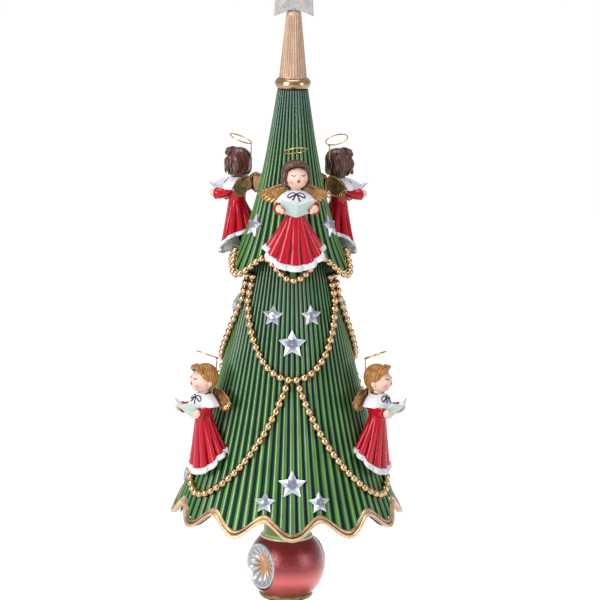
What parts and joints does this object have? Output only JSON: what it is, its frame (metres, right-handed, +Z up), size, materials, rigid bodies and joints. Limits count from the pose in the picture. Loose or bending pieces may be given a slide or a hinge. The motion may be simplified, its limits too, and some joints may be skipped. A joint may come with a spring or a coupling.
{
  "type": "christmas_tree_centrepiece",
  "caption": "Painted resin Christmas tree centrepiece in tiers with carol-singing angels, gold bead garlands, star gems and a star on a peg, standing on a glitter ball and a round base",
  "frame": {"origin": "centre of the felt underside, on the tree's axis", "axes": "+Z up along the tree's axis, -Y to the front, +X to the viewer's right"},
  "size_m": [0.1748, 0.184, 0.5398],
  "materials": {
    "felt": "dyed wool felt",
    "green_resin": "painted resin with dark antiqued grooves",
    "raw_resin": "bare cast resin",
    "lime_resin": "painted resin",
    "olive_resin": "painted resin with gold rub",
    "gold_paint": "antique gold",
    "pale_gold_paint": "satin rose gold",
    "gold_beads": "polished gold",
    "gold_wire": "polished wire",
    "wing_gold": "antique gold with copper rub",
    "clear_gems": "silver-backed faceted",
    "red_enamel": "gloss enamel",
    "skin_paint": "satin paint",
    "mint_paint": "satin paint",
    "red_glitter_glass": "red glitter under gloss",
    "silver_foil": "fluted silver with gold rays",
    "white_glitter": "white glitter",
    "white_fur": "white paint over a fur texture, gilded hollows",
    "hair_paint": "gloss brown for the girls, ginger for the boys",
    "navy_ribbon": "gloss paint",
    "page_paint": "satin paint",
    "steel": "zinc plated"
  },
  "bodies": {
    "tree": {"felt_pad": "felt", "base_plinth": "green_resin", "base_stem": "gold_paint", "rod_nut": "steel", "rod_washer": "steel", "tie_rod": "steel", "lower_collar": "olive_resin", "ornament_ball": "red_glitter_glass", "reflector_left": "silver_foil", "reflector_right": "silver_foil", "trunk_collar": "lime_resin", "skirt_floor": "raw_resin", "lower_tier": "green_resin", "upper_tier": "green_resin", "tip_ring": "gold_paint", "gold_tip": "pale_gold_paint", "upper_garland_front": "gold_beads", "upper_garland_right": "gold_beads", "upper_garland_left": "gold_beads", "lower_garland_right": "gold_beads", "lower_garland_left": "gold_beads", "lower_garland_back": "gold_beads", "hem_beads": "gold_beads", "front_gems": "clear_gems", "right_gems": "clear_gems", "left_gems": "clear_gems", "upper_tier_gems": "clear_gems", "upper_front_robe": "red_enamel", "upper_front_head": "skin_paint", "upper_front_wings": "wing_gold", "upper_front_songbook": "mint_paint", "upper_front_halo": "gold_wire", "upper_right_robe": "red_enamel", "upper_right_head": "skin_paint", "upper_right_wings": "wing_gold", "upper_right_songbook": "mint_paint", "upper_right_halo": "gold_wire", "upper_left_robe": "red_enamel", "upper_left_head": "skin_paint", "upper_left_wings": "wing_gold", "upper_left_songbook": "mint_paint", "upper_left_halo": "gold_wire", "lower_right_robe": "red_enamel", "lower_right_head": "skin_paint", "lower_right_wings": "wing_gold", "lower_right_songbook": "mint_paint", "lower_right_halo": "gold_wire", "lower_left_robe": "red_enamel", "lower_left_head": "skin_paint", "lower_left_wings": "wing_gold", "lower_left_songbook": "mint_paint", "lower_left_halo": "gold_wire", "lower_back_robe": "red_enamel", "lower_back_head": "skin_paint", "lower_back_wings": "wing_gold", "lower_back_songbook": "mint_paint", "lower_back_halo": "gold_wire"},
    "star": {"top_star": "white_glitter", "star_peg": "steel"}
  },
  "joints": [
    {"name": "star_lift", "type": "slide", "parent": "tree", "child": "star", "axis": [0, 0, 1], "range_m": [0, 0.03]}
  ]
}
